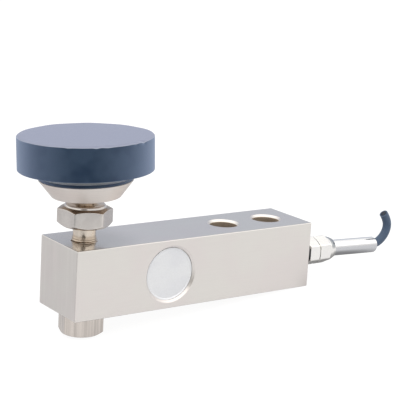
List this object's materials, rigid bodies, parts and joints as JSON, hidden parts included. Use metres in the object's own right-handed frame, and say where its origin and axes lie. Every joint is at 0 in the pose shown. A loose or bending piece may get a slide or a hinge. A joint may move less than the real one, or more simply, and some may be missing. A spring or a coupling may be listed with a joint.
{
  "type": "weighing load cell with levelling foot",
  "caption": "Square-bar shear-beam weighing cell with sealed gauge pockets, cable gland and a ball-jointed rubber levelling foot in its load hole.",
  "frame": {"origin": "middle of the two mounting holes, on the mounting face", "axes": "+X along the beam towards the cable, +Z from the mounting face towards the foot"},
  "size_m": [0.2079, 0.0602, 0.0909],
  "materials": {
    "plated_beam": "satin nickel plate",
    "cover_plate": "fine matte",
    "sealant": "soft satin",
    "gauge_film": "amber film with foil",
    "circuit_board": "satin",
    "bare_wire": "bright",
    "wire_insulation": "gloss",
    "core_insulation": "gloss",
    "black_rubber": "matte",
    "gland_plating": "bright nickel plate",
    "nylon": "satin",
    "sleeve": "bright plated tube",
    "cable_jacket": "satin",
    "zinc_steel": "bright zinc plate, turned",
    "acetal": "satin",
    "turned_steel": "fine turned satin",
    "pad_rubber": "moulded, low sheen"
  },
  "bodies": {
    "cell": {"beam_body": "plated_beam", "front_pocket_cover": "cover_plate", "rear_pocket_cover": "cover_plate", "front_sealant": "sealant", "rear_sealant": "sealant", "front_shear_gauge": "gauge_film", "rear_shear_gauge": "gauge_film", "front_terminal_board": "circuit_board", "rear_terminal_board": "circuit_board", "gauge_leads": "bare_wire", "bridge_wires": "wire_insulation", "cable_cores": "core_insulation", "gland_washer": "black_rubber", "gland_body": "gland_plating", "gland_grommet": "black_rubber", "gland_clamp_ring": "nylon", "gland_nut": "gland_plating", "strain_relief_sleeve": "sleeve", "cable": "cable_jacket", "foot_stud": "zinc_steel", "stud_lock_nut": "zinc_steel"},
    "liner": {"ball_liner": "acetal"},
    "foot": {"foot_cup": "turned_steel", "ball_retainer": "turned_steel", "foot_pad": "pad_rubber"}
  },
  "joints": [
    {"name": "foot_swivel", "type": "hinge", "parent": "cell", "child": "liner", "pos_m": [-0.0889, 0, 0.0566], "axis": [0, 0, 1], "continuous": true},
    {"name": "foot_tilt", "type": "hinge", "parent": "liner", "child": "foot", "pos_m": [-0.0889, 0, 0.0566], "axis": [-0.5627, -0.8267, 0], "range_deg": [-10.84, 5.16]}
  ]
}
